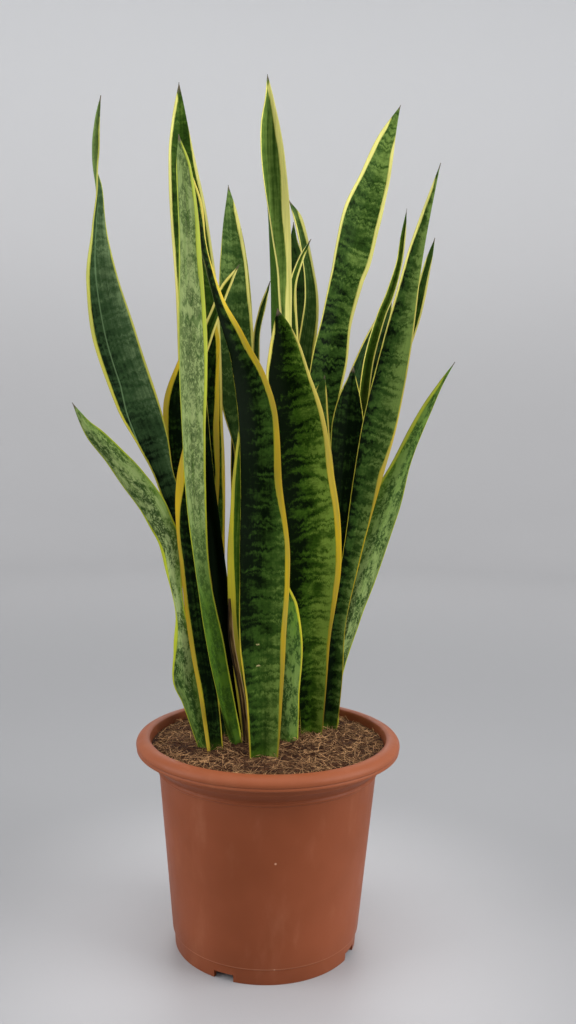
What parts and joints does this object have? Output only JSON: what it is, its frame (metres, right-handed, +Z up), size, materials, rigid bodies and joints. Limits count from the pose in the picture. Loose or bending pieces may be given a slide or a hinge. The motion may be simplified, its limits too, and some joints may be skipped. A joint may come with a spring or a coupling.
{
  "type": "potted snake plant",
  "caption": "Potted laurentii snake plant: a clump of stiff, upright, sword-shaped leaves with yellow margins, in a round terracotta-coloured pot with a rolled rim, filled with coir soil.",
  "frame": {"origin": "on the pot's axis, in the plane of its foot, where it stands on the floor", "axes": "+Z up; -Y towards the front of the plant, which the picture shows; +X to the viewer's right"},
  "size_m": [0.4296, 0.3, 0.9911],
  "materials": {
    "pot": "satin",
    "soil": "matte",
    "leaf": "satin",
    "leaf_back": "satin",
    "dried_leaf": "matte",
    "rhizome": "matte"
  },
  "bodies": {
    "root": {"pot": "pot", "soil": "soil", "rhizome_left": "rhizome", "rhizome_centre": "rhizome", "rhizome_rear": "rhizome", "rhizome_right": "rhizome", "leaf_left_tall": "leaf", "leaf_left_back": "leaf", "leaf_left_front": "leaf_back", "leaf_left_low": "leaf", "leaf_left_wide": "leaf", "leaf_left_outer": "leaf_back", "leaf_centre_front": "leaf", "leaf_centre_slim": "leaf", "leaf_centre_folded": "leaf", "leaf_centre_back": "leaf", "leaf_centre_thin": "leaf", "leaf_tallest": "leaf", "leaf_rear_left": "leaf", "leaf_right_front": "leaf", "leaf_front_short": "leaf_back", "leaf_right_broad": "leaf", "leaf_right_tall": "leaf", "leaf_right_folded": "leaf", "leaf_right_rear": "leaf", "leaf_right_back": "leaf", "leaf_right_outer": "leaf_back", "leaf_right_inner": "leaf", "leaf_rear_centre": "leaf", "leaf_rear_dark": "leaf", "leaf_rear_narrow": "leaf", "leaf_young": "leaf", "dried_leaf": "dried_leaf"}
  },
  "joints": []
}
